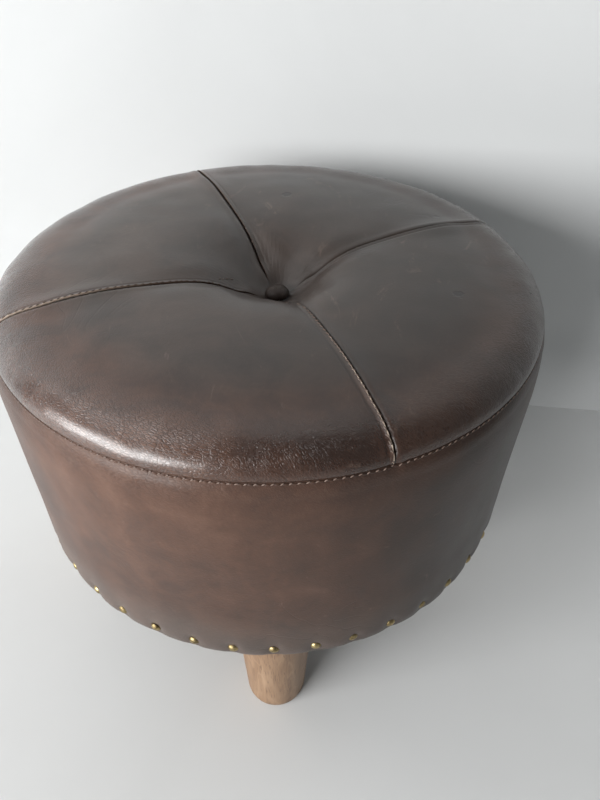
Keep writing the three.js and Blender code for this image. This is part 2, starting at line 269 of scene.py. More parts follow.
pine = Finish("sawn_softwood")
year = pine.noise(45, 4.0, 0.5, 0.5, pine.moved(stretch=(1, 1, 12)))
saw = (pine.axis("Z") * 420 + year * 2).maths("SINE")
pine_look = pine.surface(pine.ramp(year, [(0.35, (0.40, 0.25, 0.12)), (0.65, (0.66, 0.50, 0.30))]),
                         0.7 + year * 0.1, saw * 0.00003 + year * 0.0002)
dress(pine_look, *(f"post_{number}" for number in range(1, 5)))

hardboard = Finish("hardboard")
felted = hardboard.noise(500, 5.0, 0.7)
hardboard_look = hardboard.surface(
    hardboard.ramp(felted, [(0.3, (0.10, 0.05, 0.025)), (0.7, (0.19, 0.105, 0.055))]),
    0.55 + felted * 0.25, felted * 0.00008)
dress(hardboard_look, "drum_wall")


# ---- Seat cushion ----
# A disc of foam with a sheet of polyester wadding over it, pulled down in the middle by the button.
# The cover holds it in along the cross seams, and it swells up in the four quarters between them.
MM = 0.001
COVER_THICK = 1.3 * MM
UNDER_COVER = 2.2 * MM
SWELL = 2.4 * MM
SEAMS = {"right": 19.5, "back": 112.4, "left": 202.5, "front": 289.7}
rim_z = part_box("side_band")[1].z
crown_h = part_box("seat_panel_front")[1].z - rim_z + 0.2 * MM
rim_r = 150 * MM
button_low, button_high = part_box("button_cover")
button_at = (button_low + button_high) / 2
dimple_depth = 26 * MM
dimple_r = 27 * MM
cushion_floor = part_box("seat_foam")[0].z


def crown(r):
    """Height of the cover's outer face over the rim seam, without the dimple."""
    return crown_h * np.sqrt(np.clip(1 - (np.minimum(r, rim_r) / rim_r) ** 6, 0, 1))


def dimple(r):
    return dimple_depth * np.exp(-((r / dimple_r) ** 2))


def drawn(x, y):
    """The seat is drawn over towards the button, less and less out to the rim."""
    share = 1 - np.minimum(np.hypot(x, y) / rim_r, 1)
    return x + button_at.x * share, y + button_at.y * share


def from_seams(x, y):
    """Distance to the nearest cross seam, before the seat is drawn over."""
    reach = []
    for degrees in SEAMS.values():
        a = math.radians(degrees)
        ahead = x * math.cos(a) + y * math.sin(a) > 0
        reach.append(np.where(ahead, np.abs(x * math.sin(a) - y * math.cos(a)), 1.0))
    return np.minimum.reduce(reach)


def places(mesh):
    found = np.empty(len(mesh.vertices) * 3, np.float32)
    mesh.vertices.foreach_get("co", found)
    return found.reshape(-1, 3).astype(float)


def put(mesh, found):
    mesh.vertices.foreach_set("co", np.asarray(found, np.float32).ravel())
    mesh.update()


def smooth_step(low, high, value):
    share = np.clip((value - low) / (high - low), 0, 1)
    return share * share * (3 - 2 * share)


def applied(made, kind, **settings):
    """Puts one modifier on the piece and applies it."""
    modifier = made.modifiers.new(kind.lower(), kind)
    for name, value in settings.items():
        setattr(modifier, name, value)
    evaluated = made.evaluated_get(bpy.context.evaluated_depsgraph_get())
    mesh = bpy.data.meshes.new_from_object(evaluated)
    made.modifiers.clear()
    made.data = mesh


def swell(made, held, pressure, most, frames=20):
    """Blows a closed padded form up as cloth. held is 1 where it is fast; no point moves more than most."""
    before = places(made.data)
    group = made.vertex_groups.new(name="held")
    for index, weight in enumerate(held):
        group.add([index], float(weight), "REPLACE")
    cloth = made.modifiers.new("swell", "CLOTH")
    cloth.settings.quality = 6
    cloth.settings.mass = 0.4
    cloth.settings.tension_stiffness = 12
    cloth.settings.compression_stiffness = 12
    cloth.settings.bending_stiffness = 1.5
    cloth.settings.use_pressure = True
    cloth.settings.uniform_pressure_force = pressure
    cloth.settings.vertex_group_mass = "held"
    cloth.settings.effector_weights.gravity = 0
    for number in range(1, frames + 1):
        bpy.context.scene.frame_set(number)
    swollen = made.evaluated_get(bpy.context.evaluated_depsgraph_get()).to_mesh()
    move = places(swollen) - before
    made.modifiers.clear()
    made.vertex_groups.clear()
    bpy.context.scene.frame_set(1)
    length = np.linalg.norm(move, axis=1, keepdims=True)
    put(made.data, before + move * np.minimum(1, most / np.maximum(length, 1e-9)))


wadding = Finish("polyester_wadding")
fluff = wadding.noise(700, 6.0, 0.75, 1.2)
tufts = wadding.noise(90, 3.0)
wadding_look = wadding.surface(
    wadding.ramp(fluff, [(0.25, (0.62, 0.61, 0.58)), (0.7, (0.88, 0.87, 0.84))]), 0.9 + fluff * 0.1,
    fluff * 0.0006 + tufts * 0.0012, Sheen_Weight=0.4)

flat_radii = np.linspace(0, 128 * MM, 34)
roll_radii = rim_r * np.sin(np.linspace(0.66, math.pi / 2, 14)) ** (1 / 3) - UNDER_COVER
pad_section = [(r, rim_z + crown(r + UNDER_COVER * (r > 0.12)) - dimple(r) - UNDER_COVER - SWELL)
               for r in [*flat_radii, *roll_radii]]
pad_edge = pad_section[-1][0]
pad_section += [(pad_edge, rim_z - 5 * MM), (pad_edge, cushion_floor + 1.5 * MM),
                (pad_edge - 1.5 * MM, cushion_floor), (0, cushion_floor)]
cushion = piece("seat_cushion", turned(pad_section, 96), wadding_look,
                ["seat_foam", "seat_wadding"])
applied(cushion, "REMESH", mode="VOXEL", voxel_size=4.5 * MM, use_smooth_shade=True)
spots = places(cushion.data)
pad_r = np.hypot(spots[:, 0], spots[:, 1])
seam_hold = 1 - smooth_step(1.5 * MM, 13 * MM, from_seams(spots[:, 0], spots[:, 1]))
rim_hold = smooth_step(132 * MM, 143 * MM, pad_r)
under_hold = 1 - smooth_step(rim_z - 4 * MM, rim_z + 5 * MM, spots[:, 2])
button_hold = 1 - smooth_step(13 * MM, 24 * MM, pad_r)
hold = np.maximum.reduce([seam_hold, rim_hold, under_hold, button_hold])
valley = 3.6 * MM * seam_hold * smooth_step(8 * MM, 20 * MM, pad_r) * (1 - smooth_step(
    28 * MM, 95 * MM, pad_r)) - 1.3 * MM * seam_hold * smooth_step(60 * MM, 110 * MM, pad_r)
spots[:, 2] -= valley * (1 - under_hold)
put(cushion.data, spots)
swell(cushion, hold, 4.0, SWELL + 0.6 * MM)
spots = places(cushion.data)
spots[:, 0], spots[:, 1] = drawn(spots[:, 0], spots[:, 1])
put(cushion.data, spots)
applied(cushion, "SUBSURF", levels=1, render_levels=1)
cushion.data.shade_smooth()

twine = Finish("waxed_twine")
lay = (twine.axis("Z") * 2600 + twine.axis("X") * 900).maths("SINE")
twine_tone = twine.ramp(lay * 0.5 + 0.5, [(0.1, (0.34, 0.28, 0.18)), (0.9, (0.66, 0.58, 0.42))])
twine_look = twine.surface(twine_tone, 0.8 + lay * 0.05, lay * 0.0001)
dress(twine_look, "button_twine")
dress(steel_look, "button_core")


# ---- Side padding ----
# A strip of the same wadding round the hardboard, fuller towards the bottom, where the cover bulges
# before the nails pull it in.
def smoothed(points, gap):
    """A smooth line through the points, in steps of about gap."""
    points = np.array(points, float)
    padded_line = np.vstack([2 * points[0] - points[1], points, 2 * points[-1] - points[-2]])
    made = [points[0]]
    for a, b, c, d in zip(padded_line, padded_line[1:], padded_line[2:], padded_line[3:]):
        count = max(1, round(float(np.linalg.norm(c - b)) / gap))
        for t in np.linspace(0, 1, count + 1)[1:]:
            made.append(0.5 * (2 * b + (c - a) * t + (2 * a - 5 * b + 4 * c - d) * t ** 2
                               + (3 * b - a - 3 * c + d) * t ** 3))
    return np.array(made)


base_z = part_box("side_band")[0].z
side_h = rim_z - base_z
BULGE = [(2.2, 0.06), (3.7, 0.15), (4.0, 0.30), (4.0, 0.50), (4.2, 0.68), (4.8, 0.80), (5.2, 0.90),
         (5.2, 0.95), (4.5, 0.985)]
side_line = [(rim_r + out * MM, rim_z - side_h * drop) for out, drop in BULGE]

wall_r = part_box("drum_wall")[1].x + 0.4 * MM
strip_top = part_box("side_wadding")[1].z
strip_face = [(r - 1.9 * MM, z) for r, z in side_line[2:-1]]
strip_section = [(wall_r, strip_top - 0.5 * MM), (wall_r + 1.5 * MM, strip_top),
                 *smoothed([(strip_face[0][0], strip_top - 2 * MM), *strip_face], 4 * MM),
                 (wall_r + 1 * MM, strip_face[-1][1] - 1 * MM), (wall_r, strip_face[-1][1])]
strip = turned([*strip_section, strip_section[0]], 160)
side_padding = piece("side_padding", strip, wadding_look, ["side_wadding"])
spots = places(side_padding.data)
for index, spot in enumerate(spots):
    lump = noise.noise(Vector(spot) * 40) * 0.3 * MM
    outwards = Vector((spot[0], spot[1], 0)).normalized()
    if math.hypot(spot[0], spot[1]) > wall_r + 1.6 * MM:
        spots[index] += np.array(outwards) * min(lump, 0)
put(side_padding.data, spots)


# ---- Seat panels ----
# Four quarters of brown cowhide, sewn edge to edge along two crossing seams and stretched over the
# cushion. Each seam is lapped: one cut edge stands up pale along it and the next panel tucks under.
def leather(name, marks, seat, shade=1.0):
    """Antiqued brown leather with a fine pebbled grain, polished where it rolls over the rim."""
    hide = Finish(name)
    wrap = hide.node("ShaderNodeUVMap", {"uv_map": "wrap"})
    x = hide.axis("X")
    z = hide.axis("Z")
    radius = (x * x + hide.axis("Y") * hide.axis("Y")) ** 0.5
    cloud = hide.noise(9, 6.0, 0.62, 0.5)
    patch = hide.noise(38, 5.0, 0.6, 0.8, hide.moved(centre=(0.1, 0.2, 0.3)))
    speck = hide.noise(420, 3.0, 0.6)
    tone = cloud * 0.55 + patch * 0.35 + speck * 0.10
    # shade scales all the browns, so one hide can be given lighter or darker copies: painted light and
    # shade.
    browns = [(0.34, (0.024, 0.010, 0.006)), (0.46, (0.052, 0.022, 0.013)),
              (0.56, (0.092, 0.040, 0.023)), (0.68, (0.140, 0.070, 0.044))]
    colour = hide.ramp(tone, [(at, tuple(part * shade for part in brown)) for at, brown in browns])

    # The grain is drawn on the flat hide, so that it runs round the rim with the leather.
    wavy = hide.moved(source=wrap, centre=(0.01, 0.0, 0.0))
    pebble = hide.cells(900, "SMOOTH_F1", hide.moved(source=hide.place, turn=(0.3, 0.2, 0.1)))
    grain = hide.noise(1600, 2.0, 0.5)
    round_it = hide.moved(source=wavy, turn=(0, 0, 0.12), stretch=(2.8, 1.0, 1.0))
    across_it = hide.moved(source=wavy, turn=(0, 0, 0.95), stretch=(2.5, 1.0, 1.0))
    along = hide.cells(1050, "DISTANCE_TO_EDGE", round_it).between(0.17, 0.02)
    across = hide.cells(1050, "DISTANCE_TO_EDGE", across_it).between(0.17, 0.02)
    fine = hide.creases(300, 0.05, hide.moved(source=wavy, turn=(0, 0, 0.5), stretch=(2.2, 1.0, 1.0)), 0.8)
    swirl = hide.noise(14, 2.0, 0.5)
    turn = (x + (swirl - 0.5) * 0.06).between(-0.055, 0.03)
    lines = along * (1 - turn) + across * turn * 0.6
    if seat:
        roll = radius.between(0.118, 0.141)
        worked = roll * 0.9 + 0.1 + roll * (swirl - 0.5)
        rough = 0.36 - roll * 0.11 + (cloud - 0.5) * 0.22 + speck * 0.06
        # The flat top is mixed toward a grey-brown: partly painted sheen, the pale room reflected in the
        # glossy top, partly a worn haze.
        flat = 1 - radius.between(0.098, 0.134)
        sheen_and_wear = hide.ramp(tone, [(0.34, (0.020, 0.015, 0.012)), (0.66, (0.054, 0.043, 0.036))])
        colour = hide.mix(flat * 0.75, colour, sheen_and_wear)
    else:
        roll = z.between(rim_z - 0.020, rim_z)
        worked = roll * 0.35 + 0.16
        rough = 0.39 + (cloud - 0.5) * 0.22 + speck * 0.06
        # The band is mixed toward a pale grey, a little all over and more over its lowest 50 mm; the lower
        # part is painted reflection of the pale floor.
        floor_reflection = z.between(base_z + 0.050, base_z + 0.004)
        colour = hide.mix(floor_reflection * 0.45 + 0.18, colour, (0.130, 0.112, 0.100))
    height = (pebble * 0.00006 * (0.35 + worked) + grain * 0.00002 - lines * worked * 0.00013
              - fine * worked * 0.00006)
    folds = hide.creases(26, 0.012, hide.moved(turn=(0.4, 0.3, 0.8), stretch=(2.2, 1.0, 1.0)), 1.2)
    folds = folds * hide.noise(11, 2.0).between(0.52, 0.66)
    height = height - folds * 0.00006
    # The grain lines and folds are darkened in colour: painted shade in the creases.
    dark = lines * worked * 0.55 + folds * 0.1
    colour = hide.mix(dark, colour, (0.018, 0.009, 0.007))
    # The leather is darker toward +X: painted shade, for the side turned away from the window.
    # Taking that as a darker finish is a guess, as it may only be shade.
    shade_toward_x = x.between(-0.10, 0.115)
    colour = hide.mix(shade_toward_x * 0.66, colour, (0.012, 0.009, 0.007))
    scuff = hide.noise(70, 6.0, 0.7, 1.5, hide.moved(stretch=(1.0, 2.5, 1.0))).between(0.60, 0.74)
    colour = hide.mix(scuff * 0.22, colour, (0.26, 0.18, 0.14))
    # Old marks in the hide: where each is, how far it reaches and how dark it is.
    for point, size, depth in marks:
        if seat:
            east, north = x - point[0], hide.axis("Y") - point[1]
            away = (east * east + north * north) ** 0.5
        else:
            away = hide.far_from(point)
        ragged = away + (hide.noise(500, 3.0) - 0.5) * size * 1.1
        mark = ragged.between(size, size * 0.55)
        colour = hide.mix(mark * depth, colour, (0.012, 0.008, 0.007))
        height = height - mark * 0.00015
    if seat:
        raw = hide.node("ShaderNodeAttribute", {"attribute_name": "raw_edge"}, {}, "Fac")
        fuzz = hide.noise(900, 4.0, 0.7)
        colour = hide.mix(raw.between(0.35, 0.75), colour,
                          hide.ramp(fuzz, [(0.3, (0.22, 0.15, 0.10)), (0.6, (0.55, 0.45, 0.36))]))
        rough = rough + raw * 0.4
        # Along each tucked edge the colour goes dark: painted shade in the seam groove.
        tuck_shade = hide.node("ShaderNodeAttribute", {"attribute_name": "in_seam"}, {}, "Fac")
        colour = hide.mix(tuck_shade.between(0.2, 0.9) * 0.6, colour, (0.012, 0.008, 0.006))
    shine = (1 - shade_toward_x) * (roll * 0.55 + 0.12) + 0.20 if seat else 0.08
    return hide.surface(colour, rough, height, Specular_IOR_Level=0.44 if seat else 0.22,
                        Coat_Weight=shine, Coat_Roughness=0.27)


seat_leather = leather("seat_leather", [((0.0102, 0.0743, 0.2638), 0.0040, 0.85),
                                        ((0.0955, -0.0422, 0.2629), 0.0036, 0.9),
                                        ((0.1021, 0.0474, 0.2622), 0.0022, 0.6)], True)

cut_edge = Finish("cut_edge")
strands = cut_edge.noise(1100, 4.0, 0.7)
# The cut edge is pale only on the front half and away from the button; elsewhere it stays dark brown, which
# is painted shade.
inwards = cut_edge.far_from((button_at.x, button_at.y, rim_z + crown_h))
pale = inwards.between(0.060, 0.145) * (0.55 + strands * 0.6)
lit_front = (cut_edge.axis("Y") * -1 + cut_edge.axis("X") * -0.35).between(-0.012, 0.022)
edge_tone = cut_edge.mix(pale * lit_front, (0.060, 0.033, 0.022), (0.50, 0.40, 0.32))
cut_edge_look = cut_edge.surface(edge_tone, 0.75 + strands * 0.15, strands * 0.00015)

PANEL_STEPS = 236
EDGE_CROWDING = 0.80
flat_part = np.linspace(2.5 * MM, 118 * MM, 74)
sweep_up = np.linspace(math.asin((118 / 150) ** 3), math.pi / 2, 42)[1:]
seat_section = [(r, rim_z + float(crown(r))) for r in flat_part]
seat_section += [(rim_r * math.sin(a) ** (1 / 3), rim_z + crown_h * math.cos(a)) for a in sweep_up]
seat_section += [(rim_r - 0.35 * MM, rim_z - 0.35 * MM), (rim_r - 1.1 * MM, rim_z - 0.5 * MM)]


def unrolled(mesh, section, start):
    """For each vertex of a spun mesh: its angle past start, and its row's place, normal and length."""
    spots = places(mesh)
    angle = np.mod(np.arctan2(spots[:, 1], spots[:, 0]) - start + 1e-4, math.tau) - 1e-4
    line = np.array(section)
    radius = np.hypot(spots[:, 0], spots[:, 1])
    row = np.empty(len(spots), int)
    for first in range(0, len(spots), 4000):
        part = slice(first, first + 4000)
        gap = (radius[part, None] - line[None, :, 0]) ** 2 + (spots[part, 2, None] - line[None, :, 1]) ** 2
        row[part] = gap.argmin(1)
    slope = np.gradient(line, axis=0)
    normal = np.stack([slope[:, 1], -slope[:, 0]], 1)
    normal /= np.linalg.norm(normal, axis=1, keepdims=True)
    if normal[:, 0].sum() < 0:
        normal = -normal
    along = np.concatenate([[0], np.cumsum(np.linalg.norm(np.diff(line, axis=0), axis=1))])
    return angle, line[row], normal[row], along[row]


def wrap_uv(mesh, across, along):
    """A UV map in metres: round the rim, and along the section."""
    loops = np.empty(len(mesh.loops), int)
    mesh.loops.foreach_get("vertex_index", loops)
    layer = mesh.uv_layers.new(name="wrap")
    layer.data.foreach_set("uv", np.stack([across[loops], along[loops]], 1).astype(np.float32).ravel())


def rumple(spots, scale, seed):
    """Smooth noise at each point, from -1 to 1."""
    offset = Vector((seed * 3.7, seed * 1.3, seed * 2.1))
    return np.array([noise.noise(Vector(spot) * scale + offset) for spot in spots])


def face_outwards(made):
    """Turns an open sheet's faces away from the middle of the drum."""
    middle = Vector((0, 0, rim_z - 0.05))
    lean = sum((face.center - middle).dot(face.normal) for face in made.data.polygons)
    if lean < 0:
        made.data.flip_normals()


def tree_of(made):
    return BVHTree.FromPolygons([v.co for v in made.data.vertices],
                                [tuple(face.vertices) for face in made.data.polygons])


cushion_tree = tree_of(cushion)
# Under each seam the wadding is pressed down by the turned-in edges.
spots = places(cushion.data)
share = 1 - np.minimum(np.hypot(spots[:, 0], spots[:, 1]) / rim_r, 1)
pressed = np.exp(-(from_seams(spots[:, 0] - button_at.x * share, spots[:, 1] - button_at.y * share)
                   / (7 * MM)) ** 2)
spots[:, 2] -= 2.6 * MM * pressed * smooth_step(rim_z - 2 * MM, rim_z + 6 * MM, spots[:, 2])
put(cushion.data, spots)
# For each seam, how far the standing edge rises near the rim and near the button.
LIPS = {"right": (0.20, 0.20), "back": (0.20, 0.20), "left": (0.55, 0.25), "front": (0.65, 0.25)}
# How wide its pale cut edge shows there.
RAW_EDGES = {"right": (0.0, 0.0), "back": (0.0, 0.0), "left": (0.6, 0.25), "front": (0.75, 0.25)}
SEAM_NAMES = ["right", "back", "left", "front"]
PANEL_NAMES = ["back", "left", "front", "right"]
panels = {}
for number, panel_name in enumerate(PANEL_NAMES):
    opening = SEAM_NAMES[number]
    closing = SEAM_NAMES[(number + 1) % 4]
    start = math.radians(SEAMS[opening])
    span = math.radians((SEAMS[closing] - SEAMS[opening]) % 360)
    bm = turned(seat_section, PANEL_STEPS, start, span)
    made = piece(f"cover_panel_{panel_name}", bm, seat_leather, [f"seat_panel_{panel_name}"])
    made.data.materials.append(cut_edge_look)
    angle, place, normal, along = unrolled(made.data, seat_section, start)
    share = angle / span
    share = share - EDGE_CROWDING * np.sin(2 * math.pi * share) / (2 * math.pi)
    r = place[:, 0]
    # The opening side of each panel tucks under its neighbour, and the closing side stands up.
    under = 1.1 * MM * smooth_step(6 * MM, 16 * MM, r)
    theta = start - under / r + share * (span + under / r - 0.2 * MM / r)
    from_opening = r * (theta - start)
    from_closing = r * (start + span - theta)
    near_rim = smooth_step(40 * MM, 130 * MM, r)
    off_button = smooth_step(9 * MM, 22 * MM, r)
    at_groove = 1 - smooth_step(rim_r - 1.2 * MM, rim_r, r) * 0.8
    low_lip, high_lip = LIPS[closing][1], LIPS[closing][0]
    lip = (low_lip + (high_lip - low_lip) * near_rim) * MM * off_button * at_groove
    scallop = 0.8 + 0.25 * np.sin(r / (4.4 * MM) * math.tau) + 0.1 * np.sin(r / (2.9 * MM) * math.tau)
    lift = lip * scallop * (1 - smooth_step(0.3 * MM, 1.8 * MM, from_closing))
    lift -= 0.22 * MM * off_button * np.exp(-((from_closing - 2.4 * MM) / (0.7 * MM)) ** 2)
    tuck = np.exp(-(np.maximum(from_opening, 0) / (0.9 * MM)) ** 1.4)
    lift -= 1.9 * MM * off_button * at_groove * tuck
    lift += 0.25 * MM * off_button * np.exp(-((from_opening - 3.0 * MM) / (2 * MM)) ** 2)
    low_raw, high_raw = RAW_EDGES[closing][1], RAW_EDGES[closing][0]
    raw_width = (low_raw + (high_raw - low_raw) * near_rim) * MM * (0.85 + 0.2 * (scallop - 0.8) / 0.25)
    raw = (1 - smooth_step(raw_width * 0.75, raw_width + 0.15 * MM, from_closing)) * off_button
    raw *= (low_raw > 0) * smooth_step(30 * MM, 100 * MM, r)
    # Painted shade along the tucked-under edge, kept on the mesh for the leather's colour.
    shade = np.exp(-(from_opening / (0.9 * MM)) ** 2)
    x0, y0 = r * np.cos(theta), r * np.sin(theta)
    x, y = drawn(x0, y0)
    over = place[:, 1].copy()
    inside = r < 146 * MM
    for index in np.nonzero(inside)[0]:
        hit, slope, _, _ = cushion_tree.ray_cast(Vector((x[index], y[index], 1.0)), Vector((0, 0, -1)))
        if hit:
            over[index] = hit.z + UNDER_COVER / max(abs(slope.z), 0.62)
    blend_out = smooth_step(118 * MM, 142 * MM, r)
    z = over * (1 - blend_out) + place[:, 1] * blend_out
    spots = np.stack([x, y, z], 1)
    lift += rumple(spots, 55, number + 1) * 0.35 * MM * (0.3 + near_rim) * at_groove
    on_roll = 0.15 + smooth_step(120 * MM, 140 * MM, r)
    lift += rumple(spots, 130, number + 7) * 0.12 * MM * on_roll * at_groove
    outwards = np.stack([np.cos(theta), np.sin(theta)], 1)
    spots[:, :2] += outwards * (normal[:, 0] * lift)[:, None]
    spots[:, 2] += normal[:, 1] * lift
    put(made.data, spots)
    wrap_uv(made.data, theta * rim_r, along)
    raw_edge = made.data.attributes.new("raw_edge", "FLOAT", "POINT")
    raw_edge.data.foreach_set("value", raw.astype(np.float32))
    in_seam = made.data.attributes.new("in_seam", "FLOAT", "POINT")
    in_seam.data.foreach_set("value", shade.astype(np.float32))
    face_outwards(made)
    thick = made.modifiers.new("thickness", "SOLIDIFY")
    thick.thickness = COVER_THICK
    thick.offset = -1
    thick.material_offset_rim = 1
    panels[panel_name] = made


# ---- Cross-seam stitching ----
# Each lapped seam is sewn with one row of thick bonded thread, about 3.5 mm to the stitch, slanting
# over the standing edge.
def thread(name, dark, light):
    spun = Finish(name)
    twist = (spun.noise(1800, 2.0, 0.6) - 0.5) * 0.6
    return spun.surface(spun.ramp(twist + 0.5, [(0.3, dark), (0.7, light)]), 0.55 + twist * 0.3,
                        twist * 0.0001, Coat_Weight=0.15)


# The cross seams' thread is a darker copy of the rim's: painted shade where it lies down in the seams.
shaded_thread = thread("shaded_thread", (0.040, 0.024, 0.017), (0.140, 0.092, 0.066))
rim_thread = thread("rim_thread", (0.095, 0.058, 0.042), (0.235, 0.165, 0.130))


def stitch(bm, middle, along, up, length, width, rise):
    """One stitch: a small rounded bead of thread lying along a seam."""
    made = bmesh.ops.create_uvsphere(bm, u_segments=6, v_segments=5, radius=0.5)["verts"]
    bmesh.ops.scale(bm, verts=made, vec=(width, rise, length))
    along = along.normalized()
    side = up.cross(along).normalized()
    turn = Matrix((side, along.cross(side) * -1, along)).transposed().to_4x4()
    if turn.determinant() < 0:
        turn = Matrix((side * -1, along.cross(side) * -1, along)).transposed().to_4x4()
    bmesh.ops.transform(bm, matrix=Matrix.Translation(middle) @ turn, verts=made)


INSET = 0.6 * MM
random.seed(11)
for number, seam_name in enumerate(SEAM_NAMES):
    sunk = 0.3 * MM if seam_name in ("right", "back") else -0.05 * MM
    standing = PANEL_NAMES[(number + 3) % 4]
    tree = tree_of(panels[standing])
    a = math.radians(SEAMS[seam_name])
    bm = bmesh.new()
    reach = 15 * MM
    while reach < 0.1485:
        r = reach
        inset = INSET / r
        rise = float(crown(np.array(r)))
        x, y = drawn(r * math.cos(a - inset), r * math.sin(a - inset))
        before = a - INSET / (r - MM)
        x2, y2 = drawn((r - MM) * math.cos(before), (r - MM) * math.sin(before))
        spot, up, _, _ = tree.find_nearest(Vector((x, y, rim_z + rise)))
        spot2, _, _, _ = tree.find_nearest(Vector((x2, y2, rim_z + float(crown(np.array(r - MM))))))
        along = (spot - spot2).normalized()
        along = (along + up.cross(along) * random.uniform(0.35, 0.60)).normalized()
        stitch(bm, spot - up * sunk, along, up, 2.3 * MM, 0.8 * MM, 0.6 * MM)
        slope_step = 3.5 * MM * max(0.25, abs(up.z))
        reach += slope_step if r > 0.05 else 3.3 * MM
    piece(f"seam_stitches_{seam_name}", bm, shaded_thread)


# ---- Side band ----
# One strip of the same hide round the drum, sewn to the seat panels along the rim, closed by a
# butted seam at the back, and turned in under the base, where it is tacked.
# The band's hide is brightened to 1.12 of the seat's: painted light, for the window falling on its side.
side_leather = leather("side_leather", [((-0.0075, -0.1504, 0.2315), 0.0014, 0.7),
                                        ((-0.0965, -0.1156, 0.2179), 0.0022, 0.7),
                                        ((0.1147, -0.0975, 0.2317), 0.0013, 0.8),
                                        ((0.062, -0.143, 0.178), 0.0012, 0.5)], False, 1.12)

BAND_STEPS = 330
NAILS = 44
NAIL_Z = (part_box("brass_nails")[0].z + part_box("brass_nails")[1].z) / 2 - 1.5 * MM
LOWER_EDGE_R = 152.5 * MM
HEM_R = 131.9 * MM
back = math.radians(90)
slit = 0.25 * MM / rim_r
band_line = [(rim_r - 1.1 * MM, rim_z - 0.6 * MM), (rim_r - 0.35 * MM, rim_z - 0.8 * MM),
             (rim_r + 0.1 * MM, rim_z - 2.0 * MM), *side_line,
             (LOWER_EDGE_R, base_z + 0.2 * MM), (LOWER_EDGE_R - 3.5 * MM, base_z), (HEM_R, base_z)]
band_section = [tuple(point) for point in smoothed(band_line, 1.6 * MM)]
bm = turned(band_section, BAND_STEPS, back + slit, math.tau - 2 * slit)
side_band = piece("side_cover", bm, side_leather, ["side_band"])
side_band.data.materials.append(cut_edge_look)
angle, place, normal, along = unrolled(side_band.data, band_section, back + slit)
theta = angle + back + slit
r, z = place[:, 0], place[:, 1]
spots = places(side_band.data)
outside = smooth_step(base_z - 0.5 * MM, base_z + 3 * MM, z)
below_rim = rim_z - z
free = smooth_step(1.5 * MM, 6 * MM, below_rim) * outside
lift = rumple(spots, 16, 3) * 0.9 * MM * free
lift += rumple(spots * np.array([1, 1, 0.45]), 60, 4) * 0.30 * MM * free
# The seam allowances of the rim seam lie under the band and show as a low ridge.
ridge = 0.35 * MM * (1 - smooth_step(6.5 * MM, 9.5 * MM, below_rim + rumple(spots, 30, 9) * 1.2 * MM))
lift += ridge * smooth_step(1.5 * MM, 4 * MM, below_rim)
for degrees in SEAMS.values():
    off = (theta - math.radians(degrees) + math.pi) % math.tau - math.pi
    tail = 1 - smooth_step(4 * MM, 8 * MM, below_rim)
    lift -= 0.7 * MM * np.exp(-(off * rim_r / (0.9 * MM)) ** 2) * tail
    lift += 0.45 * MM * np.exp(-((np.abs(off) * rim_r - 4 * MM) / (2.5 * MM)) ** 2) * tail
nail_step = math.tau / NAILS
nail_from = math.radians(-90)
off = ((theta - nail_from + nail_step / 2) % nail_step - nail_step / 2) * rim_r
rise = z - NAIL_Z
pull = np.exp(-(off / (3.6 * MM)) ** 2)
lift -= 1.5 * MM * pull * np.exp(-(rise / (5 * MM)) ** 2) * outside
lift -= 0.55 * MM * np.exp(-(off / (2.6 * MM)) ** 2) * smooth_step(0, 3 * MM, rise) * np.exp(
    -np.maximum(rise, 0) / (9 * MM))
lift += 0.45 * MM * (1 - pull) * np.exp(-((rise - 1 * MM) / (8 * MM)) ** 2) * outside
seam_off = np.minimum(angle, math.tau - 2 * slit - angle) * rim_r
lift -= 1.2 * MM * np.exp(-(seam_off / (1.6 * MM)) ** 2) * outside
lift += 0.35 * MM * np.exp(-((seam_off - 5 * MM) / (3 * MM)) ** 2) * outside
outwards = np.stack([np.cos(theta), np.sin(theta)], 1)
spots[:, :2] = outwards * (r + normal[:, 0] * lift)[:, None]
spots[:, 2] = z + normal[:, 1] * lift * (z > base_z + 2 * MM)
put(side_band.data, spots)
wrap_uv(side_band.data, theta * rim_r, along)
face_outwards(side_band)
thick = side_band.modifiers.new("thickness", "SOLIDIFY")
thick.thickness = COVER_THICK
thick.offset = -1
thick.material_offset_rim = 1


# ---- Rim seam stitching ----
# The rim seam is sewn with the same thread, about 3.5 mm to the stitch. Between its stitches the
# band's edge puckers up into small pads, with the thread pulled down into the seam at each end.
RIM_STITCHES = 268
band_tree = tree_of(side_band)
puckers = bmesh.new()
threads = bmesh.new()
random.seed(23)
for number in range(RIM_STITCHES):
    a = number * math.tau / RIM_STITCHES + random.uniform(-0.0012, 0.0012)
    out = Vector((math.cos(a), math.sin(a), 0))
    round_the_rim = Vector((-math.sin(a), math.cos(a), 0))
    spot, up, _, _ = band_tree.find_nearest(out * (rim_r + 0.2 * MM) + Vector((0, 0, rim_z - 1.5 * MM)))
    tip = round_the_rim + Vector((0, 0, random.uniform(-0.10, 0.10)))
    up = (up + out + Vector((0, 0, 0.35))).normalized()
    stitch(puckers, spot - up * 0.15 * MM, tip, up, random.uniform(2.7, 3.2) * MM,
           random.uniform(1.1, 1.5) * MM, random.uniform(0.9, 1.2) * MM)
    a += math.pi / RIM_STITCHES
    out = Vector((math.cos(a), math.sin(a), 0))
    spot, up, _, _ = band_tree.find_nearest(out * (rim_r + 0.2 * MM) + Vector((0, 0, rim_z - 1.1 * MM)))
    slant = Vector((-math.sin(a), math.cos(a), random.uniform(0.5, 1.0)))
    stitch(threads, spot + out * 0.30 * MM, slant, out, 1.9 * MM, 0.6 * MM, 0.6 * MM)
piece("rim_puckers", puckers, side_leather)
piece("rim_stitches", threads, rim_thread)


